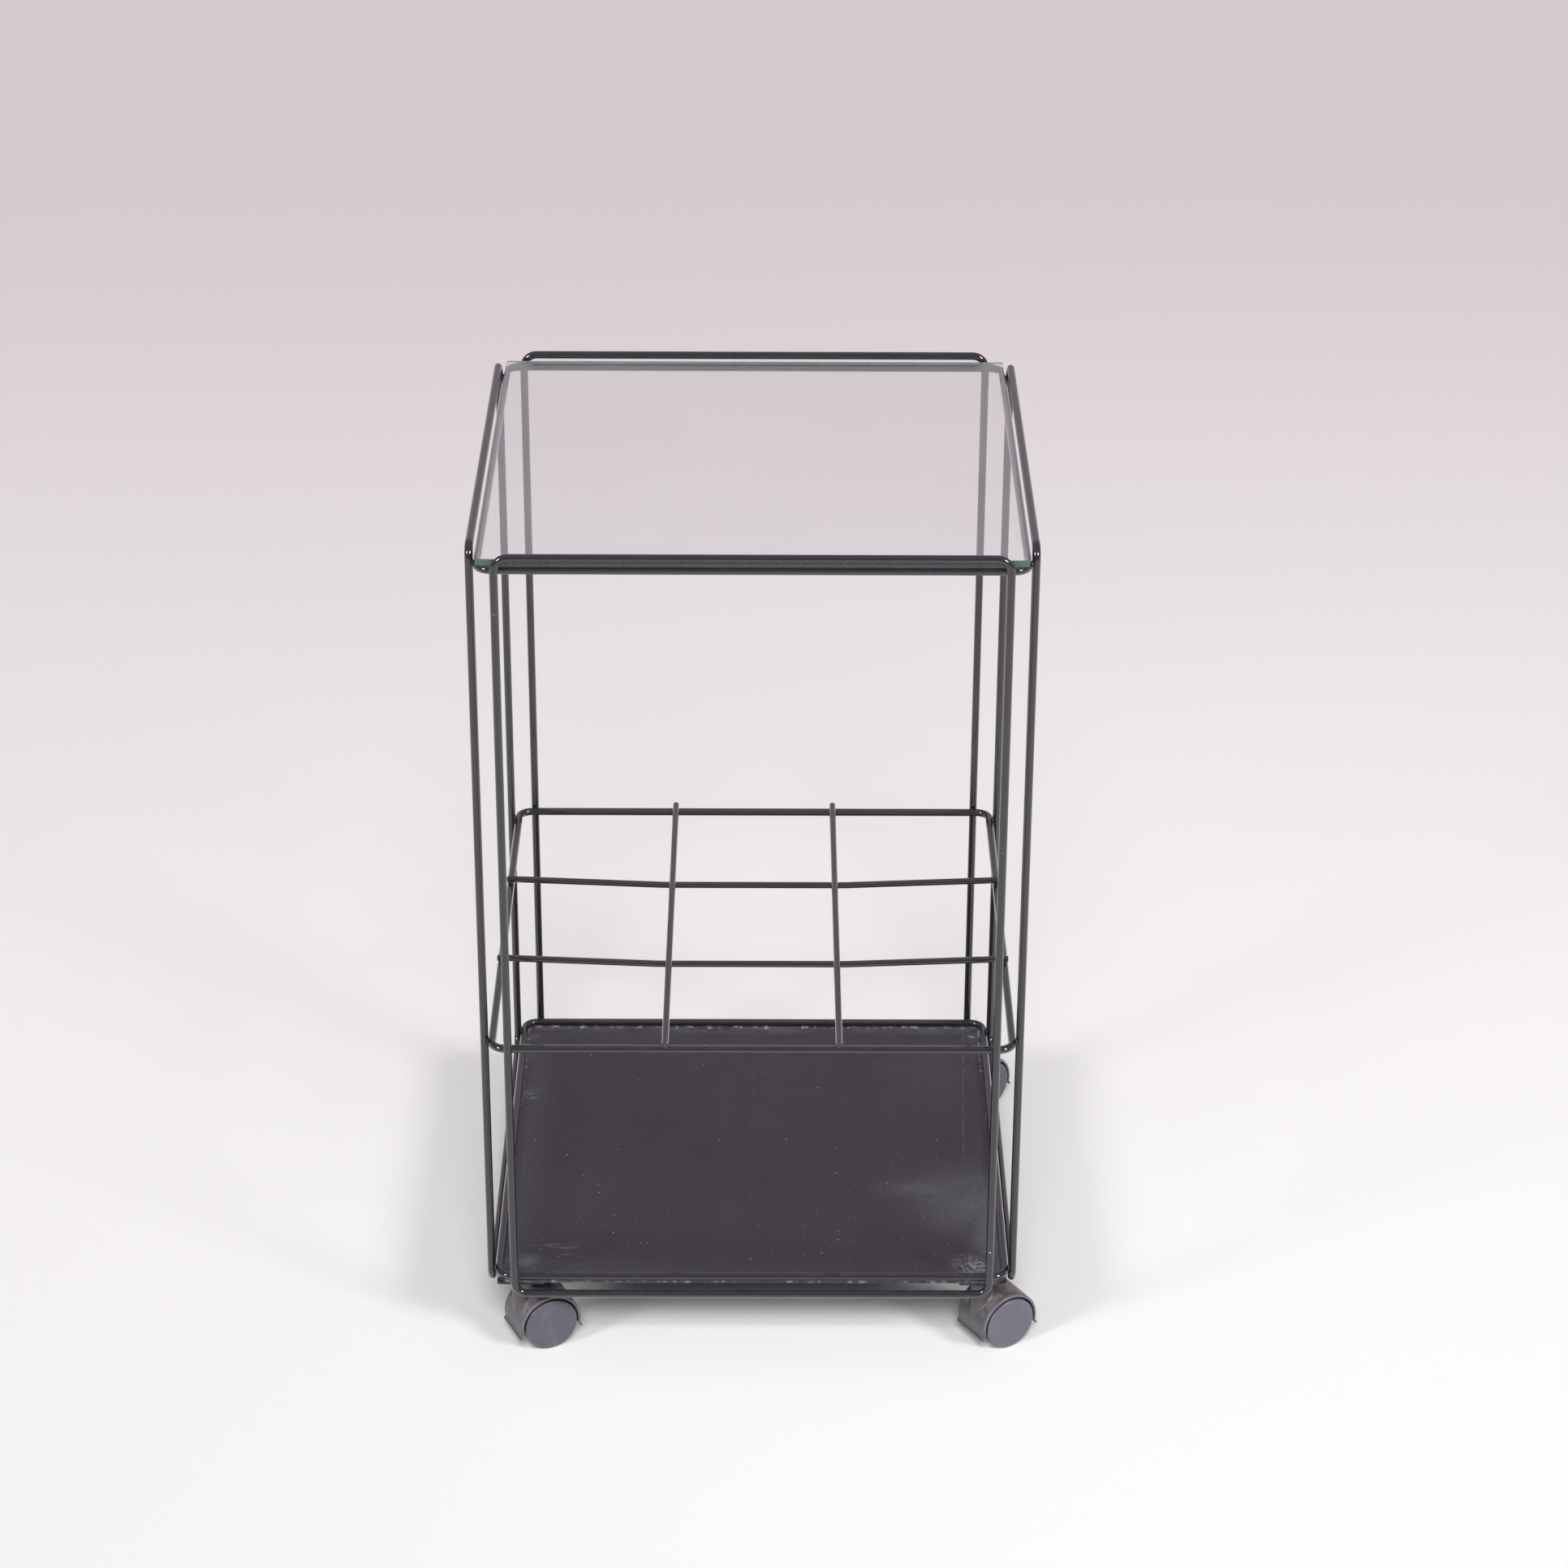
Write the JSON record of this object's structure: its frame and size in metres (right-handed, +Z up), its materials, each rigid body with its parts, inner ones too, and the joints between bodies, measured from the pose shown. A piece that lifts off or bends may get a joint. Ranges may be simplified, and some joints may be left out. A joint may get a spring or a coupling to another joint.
{
  "type": "bar cart",
  "caption": "Square wire-frame bar cart with a loose glass top, a wire bottle rack, a sheet tray and hooded twin-wheel swivel casters.",
  "frame": {"origin": "on the floor, under the middle of the cart's square plan", "axes": "+Z up, +X to the right seen from the front, the front faces -Y"},
  "size_m": [0.4182, 0.4146, 0.665],
  "materials": {
    "black_wire": "gloss black paint",
    "tray_sheet": "satin black paint",
    "caster_plate": "black paint",
    "pin_steel": "turned, zinc plated",
    "clear_glass": "polished float glass",
    "hood_plastic": "moulded gloss",
    "wheel_plastic": "moulded satin"
  },
  "bodies": {
    "frame": {"front_loop": "black_wire", "rear_loop": "black_wire", "left_loop": "black_wire", "right_loop": "black_wire", "top_ring": "black_wire", "rack_ring": "black_wire", "base_ring": "black_wire", "rack_rod_left": "black_wire", "rack_rod_right": "black_wire", "rack_rod_front": "black_wire", "rack_rod_rear": "black_wire", "tray": "tray_sheet", "front_left_caster_plate": "caster_plate", "front_left_kingpin": "pin_steel", "front_left_stem_clip": "pin_steel", "front_right_caster_plate": "caster_plate", "front_right_kingpin": "pin_steel", "front_right_stem_clip": "pin_steel", "rear_left_caster_plate": "caster_plate", "rear_left_kingpin": "pin_steel", "rear_left_stem_clip": "pin_steel", "rear_right_caster_plate": "caster_plate", "rear_right_kingpin": "pin_steel", "rear_right_stem_clip": "pin_steel"},
    "glass": {"glass_top": "clear_glass"},
    "front_left_caster": {"front_left_hood": "hood_plastic", "front_left_axle": "pin_steel"},
    "front_left_wheel_front": {"front_left_wheel_front": "wheel_plastic"},
    "front_left_wheel_rear": {"front_left_wheel_rear": "wheel_plastic"},
    "front_right_caster": {"front_right_hood": "hood_plastic", "front_right_axle": "pin_steel"},
    "front_right_wheel_front": {"front_right_wheel_front": "wheel_plastic"},
    "front_right_wheel_rear": {"front_right_wheel_rear": "wheel_plastic"},
    "rear_left_caster": {"rear_left_hood": "hood_plastic", "rear_left_axle": "pin_steel"},
    "rear_left_wheel_front": {"rear_left_wheel_front": "wheel_plastic"},
    "rear_left_wheel_rear": {"rear_left_wheel_rear": "wheel_plastic"},
    "rear_right_caster": {"rear_right_hood": "hood_plastic", "rear_right_axle": "pin_steel"},
    "rear_right_wheel_front": {"rear_right_wheel_front": "wheel_plastic"},
    "rear_right_wheel_rear": {"rear_right_wheel_rear": "wheel_plastic"}
  },
  "joints": [
    {"name": "glass_lift", "type": "slide", "parent": "frame", "child": "glass", "axis": [0, 0, 1], "range_m": [0, 0.05]},
    {"name": "front_left_swivel", "type": "hinge", "parent": "frame", "child": "front_left_caster", "pos_m": [-0.1743, -0.1743, 0], "axis": [0, 0, 1], "continuous": true},
    {"name": "front_left_wheel_front_spin", "type": "hinge", "parent": "front_left_caster", "child": "front_left_wheel_front", "pos_m": [-0.16016, -0.16771, 0.021], "axis": [0.4226, -0.9063, 0], "continuous": true},
    {"name": "front_left_wheel_rear_spin", "type": "hinge", "parent": "front_left_caster", "child": "front_left_wheel_rear", "pos_m": [-0.16016, -0.16771, 0.021], "axis": [0.4226, -0.9063, 0], "continuous": true},
    {"name": "front_right_swivel", "type": "hinge", "parent": "frame", "child": "front_right_caster", "pos_m": [0.1743, -0.1743, 0], "axis": [0, 0, 1], "continuous": true},
    {"name": "front_right_wheel_front_spin", "type": "hinge", "parent": "front_right_caster", "child": "front_right_wheel_front", "pos_m": [0.18753, -0.16603, 0.021], "axis": [0.5299, -0.848, 0], "continuous": true},
    {"name": "front_right_wheel_rear_spin", "type": "hinge", "parent": "front_right_caster", "child": "front_right_wheel_rear", "pos_m": [0.18753, -0.16603, 0.021], "axis": [0.5299, -0.848, 0], "continuous": true},
    {"name": "rear_left_swivel", "type": "hinge", "parent": "frame", "child": "rear_left_caster", "pos_m": [-0.1743, 0.1743, 0], "axis": [0, 0, 1], "continuous": true},
    {"name": "rear_left_wheel_front_spin", "type": "hinge", "parent": "rear_left_caster", "child": "rear_left_wheel_front", "pos_m": [-0.16053, 0.18162, 0.021], "axis": [0.4695, -0.8829, 0], "continuous": true},
    {"name": "rear_left_wheel_rear_spin", "type": "hinge", "parent": "rear_left_caster", "child": "rear_left_wheel_rear", "pos_m": [-0.16053, 0.18162, 0.021], "axis": [0.4695, -0.8829, 0], "continuous": true},
    {"name": "rear_right_swivel", "type": "hinge", "parent": "frame", "child": "rear_right_caster", "pos_m": [0.1743, 0.1743, 0], "axis": [0, 0, 1], "continuous": true},
    {"name": "rear_right_wheel_front_spin", "type": "hinge", "parent": "rear_right_caster", "child": "rear_right_wheel_front", "pos_m": [0.18589, 0.18474, 0.021], "axis": [0.6691, -0.7431, 0], "continuous": true},
    {"name": "rear_right_wheel_rear_spin", "type": "hinge", "parent": "rear_right_caster", "child": "rear_right_wheel_rear", "pos_m": [0.18589, 0.18474, 0.021], "axis": [0.6691, -0.7431, 0], "continuous": true}
  ]
}
